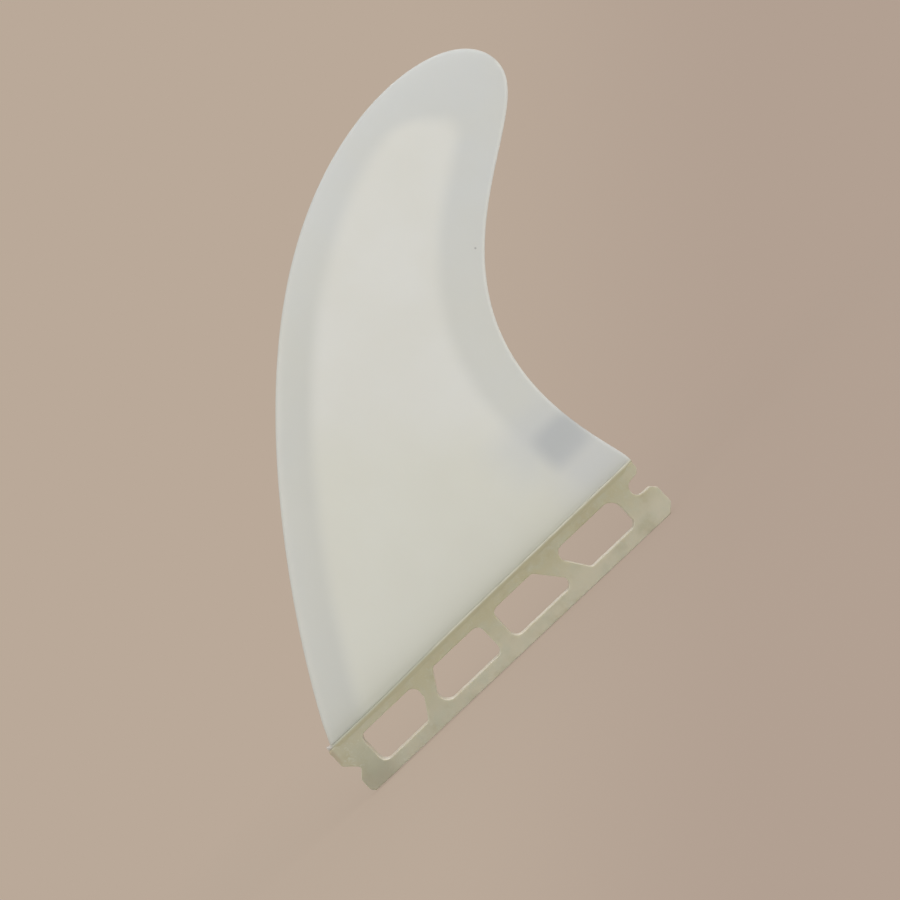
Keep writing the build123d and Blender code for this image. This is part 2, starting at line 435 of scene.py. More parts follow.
def blade_surface(sizes):
    """The blade as a function of span and of the way round a section.

    A section joins the two edges at one share of their lengths. Its half thickness is a foil
    x^0.5 (1 - x)^q over an even stock, whose ends are quarters of an ellipse in the distance
    from the outline.
    """
    span = 1 - (1 - np.arange(BLADE_ROWS) / BLADE_ROWS) ** TIP_CROWDING
    leading = at_shares(LEADING_EDGE, span)
    trailing = at_shares(TRAILING_EDGE, span)
    tip = np.array([[TIP_X, TIP_LEVEL]])
    share, side = chord_shares()
    plan = leading[:, None, :] + (trailing - leading)[:, None, :] * share[None, :, None]
    flat = plan.reshape(-1, 2)
    from_leading = distance_to_path(flat, np.vstack([leading, tip]))
    from_trailing = distance_to_path(flat, np.vstack([trailing, tip]))
    inset = np.minimum(from_leading, from_trailing).reshape(plan.shape[:2])

    fall = 0.5 * (1 - FULLEST_AT) / FULLEST_AT
    peak = FULLEST_AT**0.5 * (1 - FULLEST_AT) ** fall
    foil = share**0.5 * (1 - share) ** fall / peak
    fullest = sizes.root_thickness + (sizes.tip_thickness - sizes.root_thickness) * span
    fullest = (fullest - sizes.edge_stock) * (1 - span**NOSE_FADE)
    stock = np.sqrt(1 - (1 - np.clip(inset / sizes.edge_rounding, 0, 1)) ** 2)
    half = (fullest[:, None] * foil[None, :] + sizes.edge_stock * stock) / 2

    points = np.stack([plan[..., 0], half * side[None, :], plan[..., 1]], axis=-1).reshape(-1, 3)
    points = np.vstack([points, [[TIP_X, 0, TIP_LEVEL]]])
    spans = np.repeat(span, len(share))
    masks = {
        "from_leading": np.append(from_leading, 0),
        "from_trailing": np.append(from_trailing, 0),
        "core": np.append(core_mask(spans, from_leading, from_trailing, flat @ CORE_AXIS), 0),
    }
    return points, masks


def core_mask(span, from_leading, from_trailing, reach):
    """1 over the pale filling and 0 round it, softly.

    The filling keeps a distance from each edge and ends square. Where two limits meet, its
    corner is an arc: the depth inside is R - hypot(R - a, R - b) for the depths a and b
    inside them.
    """
    depths = [
        from_leading - np.interp(span, CORE_SHARES, CORE_FROM_LEADING),
        from_trailing - np.interp(span, CORE_SHARES, CORE_FROM_TRAILING),
        CORE_REACH - reach,
    ]
    short = np.linalg.norm(np.maximum(CORE_END_RADIUS - np.array(depths), 0), axis=0)
    return smooth_step((CORE_END_RADIUS - short) / (2 * CORE_FADE) + 0.5)


def make_blade(sizes, colours):
    """The blade: its grid, a fan that closes the tip, and a strip that closes the root."""
    points, masks = blade_surface(sizes)
    columns = 2 * BLADE_COLUMNS
    faces = grid_faces(BLADE_ROWS, columns, wrap_columns=True, flip=True).tolist()
    last_ring = (BLADE_ROWS - 1) * columns
    here = np.arange(columns)
    there = (here + 1) % columns
    tip = np.full(columns, len(points) - 1)
    faces += np.stack([last_ring + here, last_ring + there, tip], axis=1).tolist()
    near = np.arange(1, BLADE_COLUMNS - 1)
    root = np.stack([near + 1, near, columns - near, columns - near - 1], axis=1).tolist()
    root += [[1, 0, columns - 1], [BLADE_COLUMNS, BLADE_COLUMNS - 1, BLADE_COLUMNS + 1]]
    material = skin_material(colours)
    return make_piece("fin_blade", sagged(points), faces + root, material, masks, len(root))


def wall_profile(rounding):
    """A cut wall's profile across the thickness: a quarter circle at each rim, straight between.

    It starts and ends a landing's width in from the rims, on the flat faces.
    """
    angle = np.linspace(0, np.pi / 2, 7)
    inset = np.concatenate([[rounding + RIM_LANDING], rounding * (1 - np.sin(angle))])
    across = np.concatenate([[0], rounding * (1 - np.cos(angle))]) - TAB_THICKNESS / 2
    wall = np.linspace(-1, 1, 7)[1:-1] * (TAB_THICKNESS / 2 - rounding)
    inset = np.concatenate([inset, np.zeros(len(wall)), inset[::-1]])
    return inset, np.concatenate([across, wall, -across[::-1]])


def tab_corners():
    """The tab's side view without its windows, as corners and radii, anticlockwise in x and z."""
    foot_front = TAB_FRONT + FRONT_FOOT_INSET
    hook_top = -HOOK_LEVEL + HOOK_RADIUS
    hook_foot = -HOOK_LEVEL - HOOK_RADIUS
    hook_end = TAB_REAR - HOOK_LENGTH
    lobe_rear = TAB_REAR - HOOK_LOBE_INSET
    lobe_foot = hook_top + HOOK_FLARE
    return [
        ((hook_end, hook_top), HOOK_RADIUS),
        ((lobe_rear - HOOK_LOBE_CHAMFER, lobe_foot), CORNER_RADIUS),
        ((lobe_rear, lobe_foot + HOOK_LOBE_CHAMFER), CORNER_RADIUS),
        ((lobe_rear, 0), TOP_CORNER_RADIUS),
        ((TAB_FRONT, 0), TOP_CORNER_RADIUS),
        ((TAB_FRONT, -FRONT_LUG_HEIGHT), CORNER_RADIUS),
        ((TAB_FRONT + FRONT_NOTCH_INSET, -FRONT_NOTCH_LEVEL), FRONT_NOTCH_RADIUS),
        ((foot_front, -FRONT_NOTCH_FOOT), FRONT_NOTCH_FOOT_RADIUS),
        ((foot_front, -TAB_DEPTH_FRONT), FRONT_FOOT_RADIUS),
        ((TAB_REAR - REAR_FOOT_CHAMFER, -TAB_DEPTH_REAR), CORNER_RADIUS),
        ((TAB_REAR, -TAB_DEPTH_REAR + REAR_FOOT_CHAMFER), CORNER_RADIUS),
        ((TAB_REAR, hook_foot - HOOK_LUG_CHAMFER), CORNER_RADIUS),
        ((TAB_REAR - HOOK_LUG_CHAMFER, hook_foot), CORNER_RADIUS),
        ((hook_end, hook_foot), HOOK_RADIUS),
    ]


def window_corners(front, rear, cut_side, cut, round_side, round_radius):
    """One window's corners and radii, clockwise, so that the glass is to the left of its sides."""
    middle = np.array([(front + rear) / 2, -(WINDOW_SILL + WINDOW_TOP) / 2])
    half = np.array([(rear - front) / 2, (WINDOW_SILL - WINDOW_TOP) / 2])
    corners = []
    for side in ((-1, -1), (-1, 1), (1, 1), (1, -1)):
        corner = middle + half * side
        if side != cut_side:
            corners.append((corner, round_radius if side == round_side else WINDOW_RADIUS))
            continue
        along = corner - (side[0] * 2 * half[0] * cut[0], 0)
        upward = corner - (0, side[1] * 2 * half[1] * cut[1])
        cut_ends = [along, upward] if side[0] * side[1] > 0 else [upward, along]
        corners += [(end, CUT_RADIUS) for end in cut_ends]
    return corners


def tab_outlines():
    """The outer outline, then the four windows from front to rear."""
    shapes = [tab_corners()]
    open_length = TAB_REAR - TAB_FRONT - WEB_FRONT - WEB_REAR - sum(UPRIGHTS)
    x = TAB_FRONT + WEB_FRONT
    for (share, *window), upright in zip(WINDOWS, (*UPRIGHTS, 0)):
        length = share * open_length
        shapes.append(window_corners(x, x + length, *window))
        x += length + upright
    return [evenly_spaced(rounded_outline(*zip(*shape)), OUTLINE_STEP) for shape in shapes]


def hand_finished(outline, normals):
    """Moves a cut edge in by waves: h (1 + sin(n turn + phase)) each, n whole turns round it."""
    turn = np.arange(len(outline)) / len(outline) * 2 * np.pi
    laps = len(outline) * OUTLINE_STEP / WAVE_LENGTH
    wave = sum(np.sin(round(laps * pace) * turn + phase) for pace, phase in WAVES)
    return outline + normals * (WAVE_HEIGHT * (wave + len(WAVES)))[:, None]


def wall_strip(outline, lit_side, sizes):
    """A cut wall with its rounded rims: its profile carried along an outline.

    With the points come their paleness, as cut glass and as painted highlight, and their grid's
    size.
    """
    normals = inward(outline)
    outline = hand_finished(outline, normals)
    inset, across = wall_profile(sizes.rim_rounding)
    plan = outline[:, None, :] + normals[:, None, :] * inset[None, :, None]
    depth = np.broadcast_to(across, plan.shape[:2])
    points = np.stack([plan[..., 0], depth, plan[..., 1]], axis=-1).reshape(-1, 3)

    over_rim = 1 - inset / inset[0]
    # Painted highlight: a wall turns paler the more it faces the light; every rim is pale, as cut
    # glass
    facing = -normals @ lit_side
    facing = np.maximum(facing, -FAR_SIDE_SHARE * facing)[:, None]
    rim = PALE_RIM * smooth_step((over_rim - PALE_RIM_START) / PALE_RIM_RISE)
    wall = facing * smooth_step((over_rim - LIT_WALL_START) / LIT_WALL_RISE)
    at_rear = smooth_step((outline[:, 0] - REAR_FADE_START) / REAR_FADE_LENGTH)[:, None]
    below_lip = smooth_step((-plan[..., 1] - PALE_LEVEL) / PALE_LEVEL_FADE)
    # This paleness holds both the cut glass and the painted highlight
    pale = np.maximum(rim, wall) * ((1 - REAR_LOSS * at_rear) * below_lip)
    return points, pale.reshape(-1), len(outline), len(inset)


def chipped(points):
    """Pushes the near lower rim in where the chip is, by a bell curve of the distance from it.

    Towards the near side the push rises from a start, a share of half the thickness.
    """
    away = np.hypot(points[:, 0] - CHIP_PLACE[0], points[:, 2] - CHIP_PLACE[1])
    near = smooth_step((-points[:, 1] / (TAB_THICKNESS / 2) - CHIP_START) / CHIP_RISE)
    moved = points.copy()
    moved[:, 2] += CHIP_DEPTH * np.exp(-((away / CHIP_SIZE) ** 2)) * near
    return moved


def flat_triangles(rings):
    """Triangles between the outermost ring and the others, as places in all the rings' points.

    Those that fill a hole or a notch are left out: a line that leaves the middle of one
    crosses the rings an even number of times.
    """
    plan = np.vstack(rings)
    first = np.cumsum([0] + [len(ring) for ring in rings[:-1]])
    ahead = [start + np.roll(np.arange(len(ring)), -1) for start, ring in zip(first, rings)]
    ahead = np.concatenate(ahead)
    edges = np.stack([np.arange(len(plan)), ahead], axis=1)
    # In millimetres, where points less than a millionth apart count as one
    divided = delaunay_2d_cdt((plan / MM).tolist(), edges.tolist(), [], 0, 1e-6)
    triangles = np.array(divided[3])[np.array(divided[2]), 0]
    x, z = plan[triangles].mean(axis=1).T[:, :, None]
    (start_x, start_z), (end_x, end_z) = plan.T, plan[ahead].T
    rise = np.where(end_z == start_z, 1, end_z - start_z)
    beyond = start_x + (z - start_z) / rise * (end_x - start_x) > x
    crossings = (((start_z > z) != (end_z > z)) & beyond).sum(axis=1)
    return triangles[crossings % 2 == 1]


def make_tab(sizes, colours):
    """The tab: a strip round each outline, and the two flat faces that span the strips."""
    points, cut_and_lit_paleness, faces, rings = [], [], [], []
    first = 0
    for outline, lit_side in zip(tab_outlines(), LIT_SIDES):
        strip, pale, rows, columns = wall_strip(outline, lit_side, sizes)
        points.append(strip)
        cut_and_lit_paleness.append(pale)
        faces += (grid_faces(rows, columns, wrap_rows=True, flip=True) + first).tolist()
        rings.append(first + np.arange(rows) * columns)
        first += len(strip)
    points = np.vstack(points)
    near_side = flat_triangles([points[ring][:, [0, 2]] for ring in rings])
    near_side = np.concatenate(rings)[near_side]
    faces += near_side.tolist() + (near_side[:, ::-1] + columns - 1).tolist()
    points = sagged(chipped(points))
    # The cut attribute carries the paleness of cut glass and the painted highlight on lit walls
    attributes = {"cut": np.concatenate(cut_and_lit_paleness)}
    return make_piece("fin_tab", points, faces, glass_material(colours), attributes)


def make_lip(sizes, colours):
    """The lip: a low profile carried round a shape with half-round ends, with flat caps.

    Going up, the profile comes out of the tab by a smooth step and ends in a quarter circle.
    """
    half_length = TAB_REAR - LIP_INSET
    radius = LIP_HALF_WIDTH
    sides = ((1, -1), (1, 1), (-1, 1), (-1, -1))
    corners = [(half_length * x, radius * y) for x, y in sides]
    # A hair under the full radius leaves each end a side for its two arcs to meet on
    outline = evenly_spaced(rounded_outline(corners, radius * 0.9999, 24), LIP_STEP)
    normals = inward(outline)
    angle = np.linspace(0, np.pi / 2, 6)
    rounding = sizes.lip_rounding
    run_out = np.linspace(1, 0, 8)
    inset = [LIP_PROUD * smooth_step(run_out), rounding * (1 - np.cos(angle))]
    inset = np.concatenate([*inset, [rounding + LIP_LANDING]])
    level = [LIP_RUN_OUT_TOP - LIP_RUN_OUT * run_out]
    level += [sizes.lip_height - rounding * (1 - np.sin(angle)), [sizes.lip_height]]
    level = np.concatenate(level)
    plan = outline[:, None, :] + normals[:, None, :] * inset[None, :, None]
    height = np.broadcast_to(level, plan.shape[:2])
    points = np.concatenate([plan, height[..., None]], axis=-1).reshape(-1, 3)
    fleck = smooth_step((TAB_FRONT + FLECK_LENGTH - points[:, 0]) / FLECK_LENGTH)
    points[:, 2] += FLECK_HEIGHT * fleck * smooth_step(points[:, 2] / sizes.lip_height)
    rows, columns = plan.shape[:2]
    faces = grid_faces(rows, columns, wrap_rows=True).tolist()
    ring = np.arange(rows) * columns
    faces += [(ring + columns - 1).tolist(), ring[::-1].tolist()]
    attributes = {"level": points[:, 2]}
    return make_piece("fin_lip", sagged(points), faces, lip_material(colours), attributes)


# Materials


def fill(tree, socket, value):
    """Links a socket to another one, or writes a number or a colour into it."""
    if isinstance(value, bpy.types.NodeSocket):
        tree.links.new(value, socket)
    elif socket.type == "RGBA":
        socket.default_value = (*value[:3], 1)
    else:
        socket.default_value = value


def add_node(tree, kind, inputs=None, **settings):
    """Adds a node, sets its options and fills its sockets."""
    node = tree.nodes.new(kind)
    node.location = (200 * len(tree.nodes), 0)
    for name, value in settings.items():
        setattr(node, name, value)
    for key, value in (inputs or {}).items():
        fill(tree, node.inputs[key], value)
    return node


def mix_colour(tree, factor, first, second):
    """Goes from the first colour to the second with the factor."""
    # A mix node's sockets for colours come after those for numbers and vectors
    inputs = {0: factor, 6: first, 7: second}
    return add_node(tree, "ShaderNodeMix", inputs, data_type="RGBA").outputs[2]


def measure(tree, operation, *values):
    """One step of arithmetic."""
    inputs = dict(enumerate(values))
    return add_node(tree, "ShaderNodeMath", inputs, operation=operation).outputs[0]


def spread(tree, value, low, high, to_low=0.0, to_high=1.0):
    """Maps a value smoothly from one range to another and holds it at both ends."""
    inputs = {"Value": value, "From Min": low, "From Max": high}
    inputs |= {"To Min": to_low, "To Max": to_high}
    return add_node(tree, "ShaderNodeMapRange", inputs, interpolation_type="SMOOTHSTEP").outputs[0]


def place(tree):
    """Object coordinates, in metres, and their three parts."""
    coordinate = add_node(tree, "ShaderNodeTexCoord").outputs["Object"]
    parts = add_node(tree, "ShaderNodeSeparateXYZ", {0: coordinate}).outputs
    return coordinate, parts[0], parts[1], parts[2]


def clouds(tree, vector, size, detail=3.0, roughness=0.5, distortion=0.0):
    """Noise whose blotches are about as large as the size."""
    inputs = {"Vector": vector, "Scale": 1 / size, "Detail": detail, "Roughness": roughness}
    inputs["Distortion"] = distortion
    return add_node(tree, "ShaderNodeTexNoise", inputs).outputs[0]


def spot(tree, x, z, centre, size, softness):
    """1 inside a soft round-cornered patch on the side view, and 0 outside it.

    The patch is where (u / a)^4 + (v / b)^4 is small, with u and v measured from its centre.
    """
    powers = []
    for value, middle, half in zip((x, z), centre, size):
        away = measure(tree, "MULTIPLY_ADD", value, 1 / half, -middle / half)
        square = measure(tree, "MULTIPLY", away, away)
        powers.append(measure(tree, "MULTIPLY", square, square))
    total = measure(tree, "ADD", *powers)
    reach = measure(tree, "POWER", total, 0.25)
    return spread(tree, reach, 1 - softness, 1 + softness, 1.0, 0.0)


def add_marks(tree, colour, x, z, marks):
    """Lays soft marks over a colour: centre, half sizes, softness, strength and tone of each."""
    for centre, size, softness, strength, tone in marks:
        share = measure(tree, "MULTIPLY", spot(tree, x, z, centre, size, softness), strength)
        colour = mix_colour(tree, share, colour, tone)
    return colour


def new_material(name):
    """A material, its node tree and its shader."""
    material = bpy.data.materials.new(name)
    material.use_nodes = True
    tree = material.node_tree
    shader = next(node for node in tree.nodes if node.type == "BSDF_PRINCIPLED")
    return material, tree, shader


def attribute(tree, name):
    """The value that each point of the piece carries under this name."""
    return add_node(tree, "ShaderNodeAttribute", attribute_name=name).outputs["Fac"]


def finish_surface(tree, shader, colour, smears, roughness, grain, depth):
    """Gives the shader its colour, a roughness that varies with smears, and a fine grain."""
    bump = add_node(tree, "ShaderNodeBump", {"Height": grain, "Distance": depth, "Strength": 1.0})
    fill(tree, shader.inputs["Base Color"], colour)
    fill(tree, shader.inputs["Roughness"], spread(tree, smears, 0.3, 0.7, *roughness))
    fill(tree, shader.inputs["Normal"], bump.outputs[0])


def let_light_in(shader, weight, radius, scale):
    """Lets a share of the light soak in and come out beside, least of all the blue."""
    shader.inputs["Subsurface Weight"].default_value = weight
    shader.inputs["Subsurface Radius"].default_value = radius
    shader.inputs["Subsurface Scale"].default_value = scale


def skin_material(colours):
    """Satin white skin: pale over the filling, greyer over solid laminate, thin above the lip."""
    material, tree, shader = new_material("fin_skin")
    coordinate, x, _, z = place(tree)
    core = attribute(tree, "core")
    from_leading = attribute(tree, "from_leading")
    from_trailing = attribute(tree, "from_trailing")

    reach_x = measure(tree, "MULTIPLY", x, CORE_AXIS[0])
    reach = measure(tree, "MULTIPLY_ADD", z, CORE_AXIS[1], reach_x)

    # Over solid laminate and over the filling, both less yellow higher up; the filling is also a
    # little lighter there, as painted light from above
    high = spread(tree, reach, 70 * MM, 105 * MM)
    skin = mix_colour(tree, high, colours.skin, colours.skin_high)
    # Painted shade: the skin darkens low on the leading edge
    in_front = spread(tree, from_leading, 8 * MM, 13 * MM, 1.0, 0.0)
    low = spread(tree, reach, 55 * MM, 110 * MM, 1.0, 0.0)
    skin = mix_colour(tree, measure(tree, "MULTIPLY", in_front, low), skin, colours.skin_front_shade)
    high = spread(tree, reach, 34 * MM, 60 * MM)
    filled = mix_colour(tree, high, colours.core, colours.core_high_lit)
    colour = mix_colour(tree, core, skin, filled)
    drift = spread(tree, clouds(tree, coordinate, 26 * MM, 2.0), 0.35, 0.65, 0.0, 0.2)
    colour = mix_colour(tree, drift, colour, shade(206, 202, 189))

    # Painted highlights: pale lines along the leading edge's lower part and along the trailing edge
    low = spread(tree, reach, 55 * MM, 105 * MM, 1.0, 0.0)
    glow = measure(tree, "MULTIPLY", spread(tree, from_leading, 0.2 * MM, 2.6 * MM, 0.25, 0.0), low)
    colour = mix_colour(tree, glow, colour, shade(219, 215, 206))
    glow = spread(tree, from_trailing, 0.1 * MM, 1.2 * MM, 0.4, 0.0)
    colour = mix_colour(tree, glow, colour, shade(232, 229, 222))

    veil = ((42.5 * MM, 22 * MM), (11 * MM, 7 * MM), 0.8, 0.4, shade(190, 192, 197))
    patch = ((47.6 * MM, 17.5 * MM), (6.8 * MM, 5.6 * MM), 0.45, 0.75, colours.patch)
    colour = add_marks(tree, colour, x, z, (veil, patch))

    # The skin thins towards the lip, by a power of the height. It thins less at the front end
    # and least at the rear.
    height = measure(tree, "MULTIPLY_ADD", measure(tree, "MAXIMUM", z, 0.0), 1 / (2.2 * MM), 1.0)
    foot = measure(tree, "MULTIPLY", measure(tree, "POWER", height, -1.3), 1.2)
    foot = measure(tree, "MINIMUM", foot, 0.56)
    foot = measure(tree, "MULTIPLY", foot, spread(tree, x, 0.0, 80 * MM, 1.0, 0.28))
    foot = measure(tree, "MULTIPLY", foot, spread(tree, x, -58 * MM, -30 * MM, 0.6, 1.0))
    colour = mix_colour(tree, foot, colour, colours.foot)
    rear = ((48.5 * MM, 7 * MM), (10.5 * MM, 6 * MM), 0.8, 0.45, shade(195, 196, 200))
    speck = ((66.3 * MM, 71.7 * MM), (0.26 * MM, 0.26 * MM), 0.4, 0.55, shade(120, 118, 116))
    colour = add_marks(tree, colour, x, z, (rear, speck))

    smudges = clouds(tree, coordinate, 9 * MM, 4.0, 0.6)
    peel = clouds(tree, coordinate, 1.1 * MM, 2.0)
    finish_surface(tree, shader, colour, smudges, (0.34, 0.46), peel, 0.012 * MM)
    let_light_in(shader, 0.12, (1.0, 0.9, 0.75), 1.2 * MM)
    return material


def glass_material(colours):
    """Raw laminate: hazy resin over glass, olive under the lip, paler low down, at cuts and in
    painted highlight.
    """
    material, tree, shader = new_material("fin_raw_glass")
    coordinate, x, _, z = place(tree)
    in_front = spread(tree, x, -45 * MM, -28 * MM, 0.8, 0.0)
    high_glass = mix_colour(tree, in_front, colours.glass, shade(178, 171, 147))
    in_front = spread(tree, x, -28 * MM, -10 * MM, 1.0, 0.0)
    low_glass = mix_colour(tree, in_front, colours.glass_low, shade(183, 176, 155))
    low = spread(tree, z, -15 * MM, -2 * MM, 1.0, 0.0)
    colour = mix_colour(tree, low, high_glass, low_glass)

    haze = spread(tree, clouds(tree, coordinate, 4.2 * MM, 4.0, 0.6), 0.42, 0.7, 0.0, 0.45)
    colour = mix_colour(tree, haze, colour, shade(176, 175, 156))
    stain = spread(tree, clouds(tree, coordinate, 6 * MM, 3.0, 0.55), 0.48, 0.72, 0.0, 0.4)
    colour = mix_colour(tree, stain, colour, shade(163, 152, 120))
    wisps = clouds(tree, coordinate, 1.3 * MM, 3.0, 0.55, 1.6)
    wisps = spread(tree, wisps, 0.52, 0.72, 0.0, 0.3)
    wisps = measure(tree, "MULTIPLY", wisps, spread(tree, x, -46 * MM, -38 * MM, 2.8, 1.0))
    colour = mix_colour(tree, wisps, colour, shade(186, 183, 163))

    # Marks, from front to rear: a painted shadow over the front foot, painted shade down the upper
    # lug's front edge, stains and worn places, and a darker mark over the chip
    chip_darkening = (CHIP_PLACE[0], CHIP_PLACE[1] + 0.4 * MM)
    stains_and_shade = (
        # Painted shadow: the front foot darker
        ((TAB_FRONT + 5 * MM, -15 * MM), (6.5 * MM, 3.9 * MM), 0.6, 0.6, shade(150, 142, 121)),
        ((TAB_FRONT + 7.1 * MM, -9.9 * MM), (3.2 * MM, 4 * MM), 0.6, 0.6, shade(166, 163, 141)),
        # Painted shade: the upper lug's front edge darker, as a face turned down from the light
        ((TAB_FRONT + 0.4 * MM, -2.7 * MM), (0.8 * MM, 2.2 * MM), 0.6, 0.4, shade(156, 132, 112)),
        ((TAB_REAR - 1.6 * MM, -2.5 * MM), (4 * MM, 1.8 * MM), 0.6, 0.5, shade(190, 183, 163)),
        ((TAB_REAR - 3.3 * MM, -15 * MM), (3.4 * MM, 3 * MM), 0.6, 0.2, shade(198, 189, 170)),
        (chip_darkening, (1.2 * MM, 0.6 * MM), 0.6, 0.12, shade(150, 134, 112)),
    )
    colour = add_marks(tree, colour, x, z, stains_and_shade)
    # Paler where cut, and painted highlight where a wall faces the light
    colour = mix_colour(tree, attribute(tree, "cut"), colour, colours.glass_cut_and_lit)

    smears = clouds(tree, coordinate, 4 * MM, 5.0, 0.65)
    grain = clouds(tree, coordinate, 0.7 * MM, 4.0, 0.6)
    finish_surface(tree, shader, colour, smears, (0.3, 0.5), grain, 0.03 * MM)
    let_light_in(shader, 0.3, (1.0, 0.92, 0.7), 1.5 * MM)
    return material


def lip_material(colours):
    """Resin at the parting line: cream with duller stretches, and glass where it runs out."""
    material, tree, shader = new_material("fin_lip_resin")
    coordinate, x, _, _ = place(tree)
    dull = spread(tree, clouds(tree, coordinate, 6 * MM, 4.0, 0.65), 0.45, 0.75, 0.0, 0.7)
    colour = mix_colour(tree, dull, colours.lip, shade(176, 172, 150))
    in_front = spread(tree, x, -21 * MM, -14 * MM, 1.0, 0.0)
    colour = mix_colour(tree, in_front, colour, shade(178, 177, 158))
    fleck = spread(tree, x, TAB_FRONT + 1.2 * MM, TAB_FRONT + 2.4 * MM, 0.85, 0.0)
    colour = mix_colour(tree, fleck, colour, shade(202, 196, 190))
    below = spread(tree, attribute(tree, "level"), -0.2 * MM, 0.35 * MM, 1.0, 0.0)
    colour = mix_colour(tree, below, colour, colours.glass)

    smears = clouds(tree, coordinate, 2 * MM)
    grain = clouds(tree, coordinate, 0.9 * MM)
    finish_surface(tree, shader, colour, smears, (0.32, 0.48), grain, 0.03 * MM)
    return material


# Studio


def seen_directly(tree):
    """1 for the rays that show the backdrop itself, and 0 for those that light the fin."""
    path = add_node(tree, "ShaderNodeLightPath").outputs
    total = measure(tree, "ADD", path["Is Camera Ray"], path["Is Glossy Ray"])
    total = measure(tree, "ADD", total, path["Is Transmission Ray"])
    return measure(tree, "MINIMUM", total, 1.0)


def backdrop_colour(tree, direction, studio):
    """The backdrop's colour, which falls off softly from the picture's left to its right."""
    inputs = {0: direction, 1: PICTURE_RIGHT}
    across = add_node(tree, "ShaderNodeVectorMath", inputs, operation="DOT_PRODUCT")
    share = spread(tree, across.outputs["Value"], -0.02, 0.13)
    return mix_colour(tree, share, studio.backdrop, studio.backdrop_right)


def make_world(studio):
    """Even light from all round, behind a backdrop of the floor's colour."""
    world = bpy.data.worlds.new("studio_dome")
    world.use_nodes = True
    tree = world.node_tree
    tree.nodes.clear()
    inputs = {"Color": shade(252, 254, 255), "Strength": studio.dome}
    light = add_node(tree, "ShaderNodeBackground", inputs)
    direction = add_node(tree, "ShaderNodeTexCoord").outputs["Generated"]
    colour = backdrop_colour(tree, direction, studio)
    backdrop = add_node(tree, "ShaderNodeBackground", {"Color": colour, "Strength": 1.0})
    inputs = {0: seen_directly(tree), 1: light.outputs[0], 2: backdrop.outputs[0]}
    mixed = add_node(tree, "ShaderNodeMixShader", inputs)
    add_node(tree, "ShaderNodeOutputWorld", {"Surface": mixed.outputs[0]})
    bpy.context.scene.world = world


def floor_material(studio):
    """Glows in the backdrop's colour where it is seen, but takes a shadow near the fin."""
    material, tree, shader = new_material("studio_floor")
    seen = seen_directly(tree)
    coordinate, x, y, _ = place(tree)
    inputs = {0: coordinate, 1: CAMERA_PLACE}
    from_camera = add_node(tree, "ShaderNodeVectorMath", inputs, operation="SUBTRACT").outputs[0]
    direction = add_node(tree, "ShaderNodeVectorMath", {0: from_camera}, operation="NORMALIZE")
    colour = backdrop_colour(tree, direction.outputs[0], studio)
    fill(tree, shader.inputs["Base Color"], mix_colour(tree, seen, studio.floor, colour))
    shader.inputs["Roughness"].default_value = 0.9
    shader.inputs["Specular IOR Level"].default_value = 0.0
    glow = add_node(tree, "ShaderNodeEmission", {"Color": colour, "Strength": 1.0})
    squares = measure(tree, "MULTIPLY_ADD", x, x, measure(tree, "MULTIPLY", y, y))
    away = measure(tree, "SQRT", squares)
    share = spread(tree, away, SHADOW_START, SHADOW_END, FLOOR_GLOW, 1.0)
    share = measure(tree, "MULTIPLY", seen, share)
    inputs = {0: share, 1: shader.outputs[0], 2: glow.outputs[0]}
    mixed = add_node(tree, "ShaderNodeMixShader", inputs)
    output = next(node for node in tree.nodes if node.type == "OUTPUT_MATERIAL")
    fill(tree, output.inputs["Surface"], mixed.outputs[0])
    return material


def make_floor(studio):
    """A wide plain floor just under the tab, as a flat grid."""
    rows = np.linspace(-FLOOR_REACH, FLOOR_REACH, 9)
    x, y = np.meshgrid(rows, rows, indexing="ij")
    level = np.full(x.shape, FLOOR_LEVEL - FLOOR_GAP)
    points = np.stack([x, y, level], axis=-1).reshape(-1, 3)
    mesh = bpy.data.meshes.new("studio_floor")
    mesh.from_pydata(points.tolist(), [], grid_faces(len(rows), len(rows)).tolist())
    mesh.materials.append(floor_material(studio))
    floor = bpy.data.objects.new("studio_floor", mesh)
    bpy.context.scene.collection.objects.link(floor)


def make_lamp(name, at, side, power):
    """A square soft light that looks at the fin."""
    light = bpy.data.lights.new(name, "AREA")
    light.shape = "SQUARE"
    light.size = side
    light.energy = power
    light.color = LAMP_COLOUR
    lamp = bpy.data.objects.new(name, light)
    lamp.location = at
    lamp.rotation_mode = "QUATERNION"
    lamp.rotation_quaternion = (LAMP_AIM - Vector(at)).to_track_quat("-Z", "Y")
    bpy.context.scene.collection.objects.link(lamp)


def make_camera():
    """Looks level along +Y, and is rolled so that the fin leans as in the picture."""
    camera = bpy.data.cameras.new("camera")
    camera.lens = CAMERA_LENS
    camera.sensor_width = SENSOR_WIDTH
    camera.clip_start = 0.01
    camera.clip_end = 100
    up = Vector((math.sin(CAMERA_ROLL), 0, math.cos(CAMERA_ROLL)))
    back = Vector((0, -1, 0))
    turned = Matrix((PICTURE_RIGHT, up, back)).transposed().to_4x4()
    holder = bpy.data.objects.new("camera", camera)
    holder.matrix_world = Matrix.Translation(CAMERA_PLACE) @ turned
    bpy.context.scene.collection.objects.link(holder)
    bpy.context.scene.camera = holder


# Operators, panel and registration


class FIN_OT_blade(bpy.types.Operator):
    """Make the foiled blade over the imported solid"""

    bl_idname = "fin.make_blade"
    bl_label = "Make the blade"

    def execute(self, context):
        blade = make_blade(context.scene.fin_sizes, context.scene.fin_colours)
        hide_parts("fin")
        return {"FINISHED"}


class FIN_OT_lip(bpy.types.Operator):
    """Make the lip between blade and tab"""

    bl_idname = "fin.make_lip"
    bl_label = "Make the lip"

    def execute(self, context):
        lip = make_lip(context.scene.fin_sizes, context.scene.fin_colours)
        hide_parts("fin")
        return {"FINISHED"}


class FIN_OT_tab(bpy.types.Operator):
    """Make the windowed and notched tab"""

    bl_idname = "fin.make_tab"
    bl_label = "Make the tab"

    def execute(self, context):
        tab = make_tab(context.scene.fin_sizes, context.scene.fin_colours)
        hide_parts("fin")
        return {"FINISHED"}


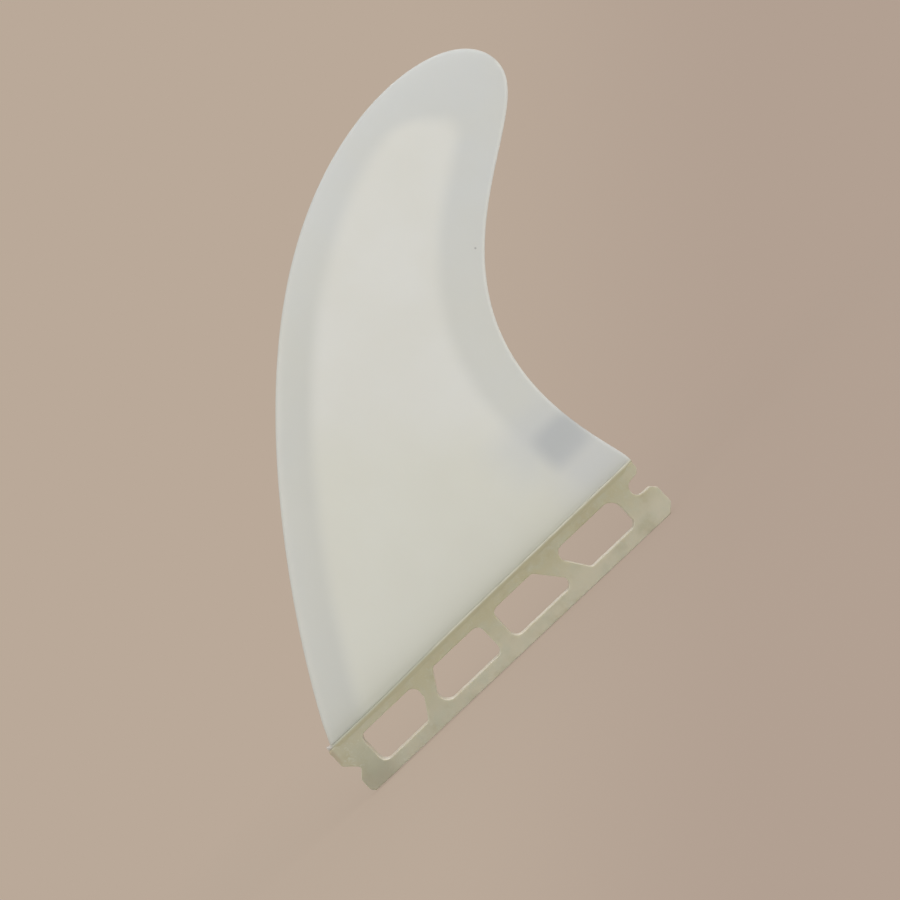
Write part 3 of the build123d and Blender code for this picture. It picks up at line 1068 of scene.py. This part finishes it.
class FIN_OT_studio(bpy.types.Operator):
    """Set up the floor, the lights, the backdrop and the camera"""

    bl_idname = "fin.make_studio"
    bl_label = "Set up the studio"

    def execute(self, context):
        studio = context.scene.fin_studio
        make_world(studio)
        make_floor(studio)
        make_lamp("key_overhead", (0.72, -0.6, 0.81), 0.9, studio.key)
        make_lamp("fill_in_front", (-0.6, -1.0, 0.5), 0.8, studio.fill)
        make_lamp("fill_behind", (0.3, 1.1, 0.7), 0.8, studio.fill)
        make_camera()
        context.scene.view_settings.view_transform = "Standard"
        return {"FINISHED"}


class FIN_PT_sidebar(bpy.types.Panel):
    """Lists the fin's pieces, sizes, colours and studio"""

    bl_idname = "FIN_PT_sidebar"
    bl_label = "Surfboard fin"
    bl_space_type = "VIEW_3D"
    bl_region_type = "UI"
    bl_category = "Fin"

    def draw(self, context):
        layout = self.layout
        for operator in OPERATORS:
            layout.operator(operator.bl_idname)
        for group_name in PROPERTY_GROUPS:
            group = getattr(context.scene, group_name)
            column = layout.column(align=True)
            for name in group.__annotations__:
                column.prop(group, name)


PROPERTY_GROUPS = {"fin_sizes": FinSizes, "fin_colours": FinColours, "fin_studio": FinStudio}
OPERATORS = (FIN_OT_blade, FIN_OT_lip, FIN_OT_tab, FIN_OT_studio)


def register():
    """Adds the fin's properties, operators and panel to Blender."""
    for group in PROPERTY_GROUPS.values():
        bpy.utils.register_class(group)
    for name, group in PROPERTY_GROUPS.items():
        setattr(bpy.types.Scene, name, PointerProperty(type=group))
    for operator in OPERATORS:
        bpy.utils.register_class(operator)
    bpy.utils.register_class(FIN_PT_sidebar)


def unregister():
    """Takes them out again."""
    bpy.utils.unregister_class(FIN_PT_sidebar)
    for operator in reversed(OPERATORS):
        bpy.utils.unregister_class(operator)
    for name, group in PROPERTY_GROUPS.items():
        delattr(bpy.types.Scene, name)
        bpy.utils.unregister_class(group)


def main():
    """Makes the whole scene."""
    register()
    bpy.ops.fin.make_studio()
    bpy.ops.fin.make_blade()
    bpy.ops.fin.make_lip()
    bpy.ops.fin.make_tab()


if __name__ == "__main__":
    main()
